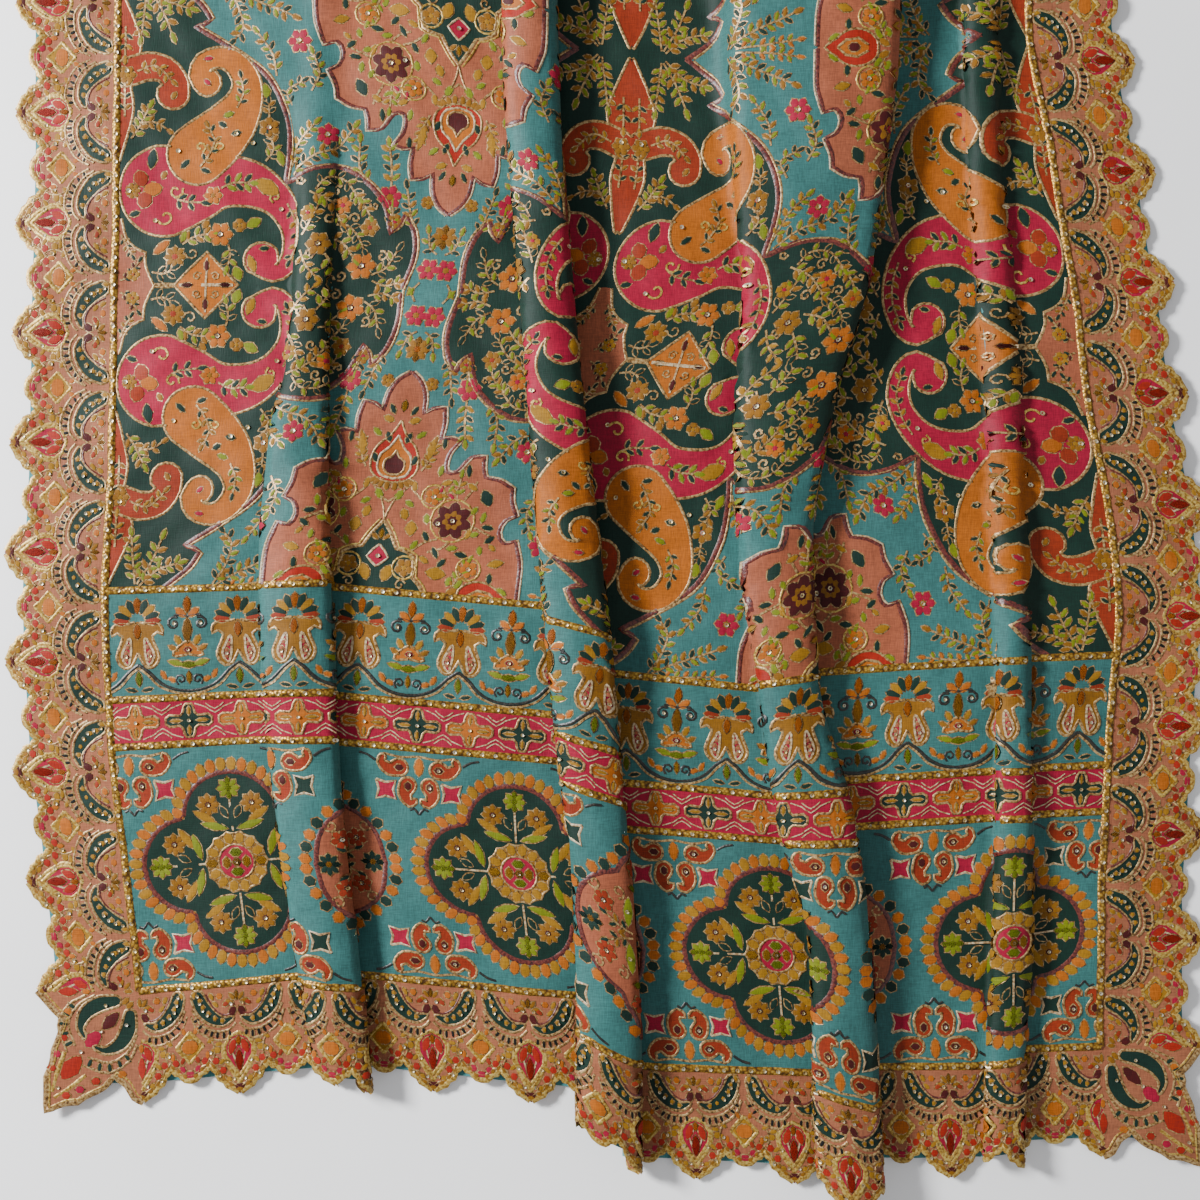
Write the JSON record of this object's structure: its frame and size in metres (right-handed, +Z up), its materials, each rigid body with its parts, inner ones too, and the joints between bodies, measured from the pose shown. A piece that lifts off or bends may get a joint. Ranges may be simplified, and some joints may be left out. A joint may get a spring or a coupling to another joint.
{
  "type": "scalloped dupatta",
  "caption": "Long lined shawl cloth with a patterned field, banded end panels and scalloped borders, laid flat in soft lengthwise folds",
  "frame": {"origin": "middle of the bounding box at its base, on the surface that the cloth lies on", "axes": "+X across the cloth to the right, +Y along the cloth away from the near hem, +Z up off the surface"},
  "size_m": [0.76, 2.6142, 0.0253],
  "materials": {
    "printed_silk": "multi-colour printed silk with couched gold thread, satin-matt",
    "end_silk": "teal printed silk with medallions and gold thread bands",
    "border_silk": "salmon pink printed silk with dense gold thread and a corded edge",
    "teal_lining": "thin plain teal lining cloth, matt"
  },
  "bodies": {
    "root": {"field": "printed_silk", "end_panel_near": "end_silk", "end_panel_far": "end_silk", "border_near": "border_silk", "border_far": "border_silk", "border_left": "border_silk", "border_right": "border_silk", "lining": "teal_lining"}
  },
  "joints": []
}
